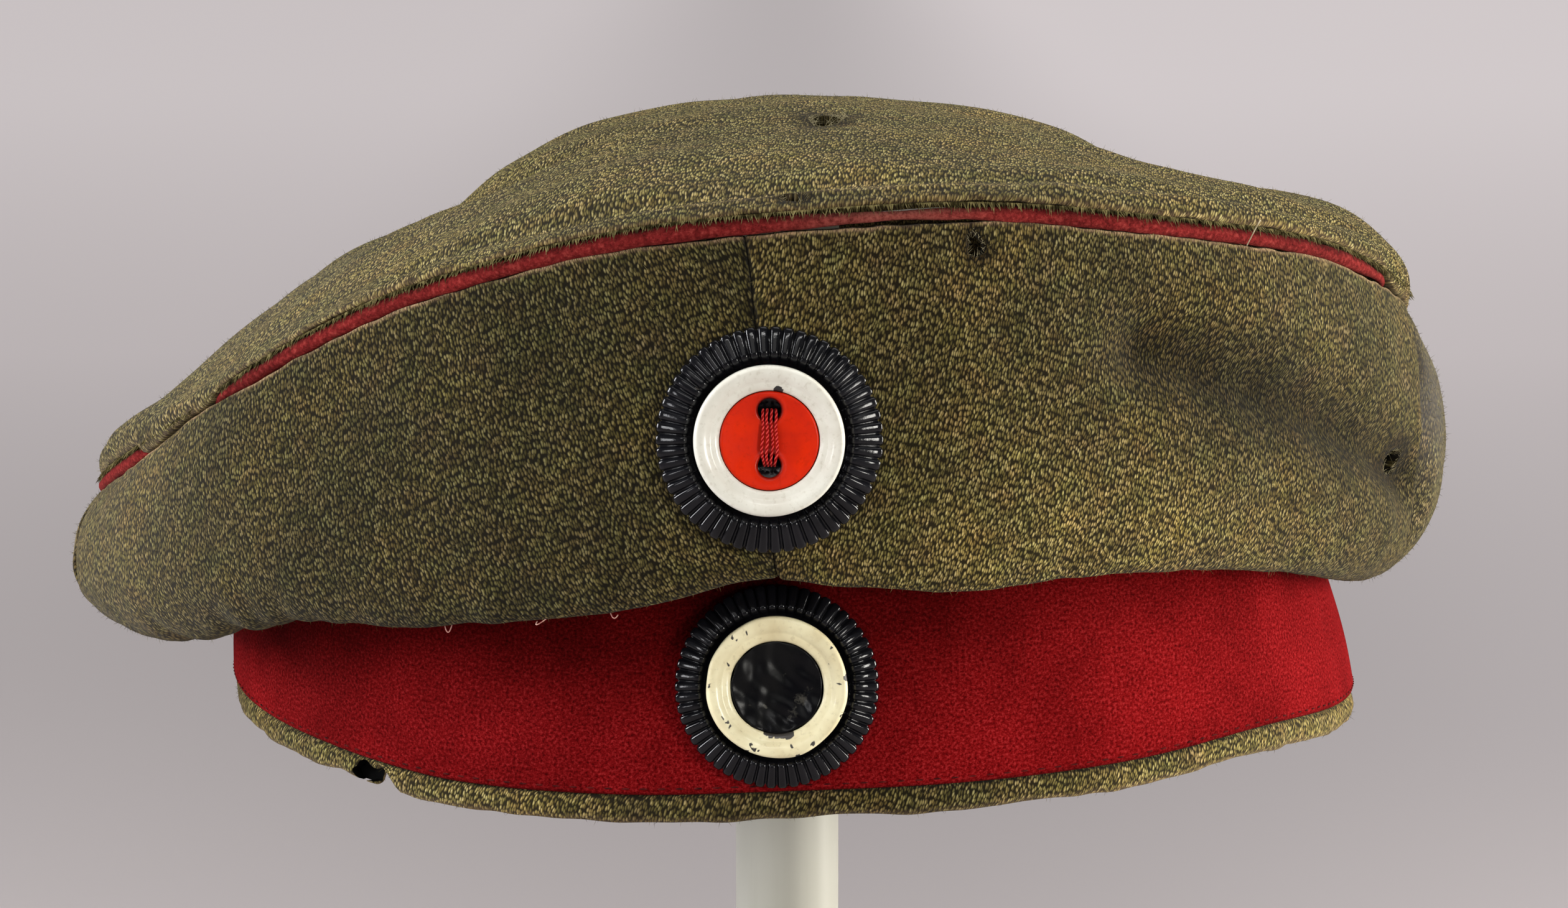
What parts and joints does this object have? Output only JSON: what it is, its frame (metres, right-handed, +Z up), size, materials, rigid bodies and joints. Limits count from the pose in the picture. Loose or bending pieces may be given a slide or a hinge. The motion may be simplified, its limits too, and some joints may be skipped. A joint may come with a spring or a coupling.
{
  "type": "field cap on a post stand",
  "caption": "Soft visorless wool field cap with a slouching crown, red band and piping and two sewn metal cockades, resting on a plain round-footed post stand.",
  "frame": {"origin": "middle of the stand's flat foot, on the post's axis", "axes": "+Z up the post, and the cap's front faces -Y"},
  "size_m": [0.2145, 0.2205, 0.206],
  "materials": {
    "wool": "fulled grey-green wool",
    "red_wool": "red wool felt",
    "piping_wool": "dull red wool cord",
    "black_enamel": "worn black paint on pressed metal",
    "white_enamel": "worn white paint",
    "cream_enamel": "aged cream paint",
    "red_enamel": "glossy red paint",
    "thread": "faded red sewing thread",
    "stand_paint": "off-white satin paint"
  },
  "bodies": {
    "root": {"crown_panel_front_right": "wool", "crown_panel_back_right": "wool", "crown_panel_back_left": "wool", "crown_panel_front_left": "wool", "crown_top": "wool", "crown_piping": "piping_wool", "red_band": "red_wool", "headband": "wool", "upper_cockade_flutes": "black_enamel", "upper_cockade_ring": "white_enamel", "upper_cockade_centre": "red_enamel", "upper_cockade_thread": "thread", "lower_cockade_flutes": "black_enamel", "lower_cockade_ring": "cream_enamel", "lower_cockade_centre": "black_enamel", "stand_foot": "stand_paint", "stand_post": "stand_paint", "stand_rest": "stand_paint"}
  },
  "joints": []
}
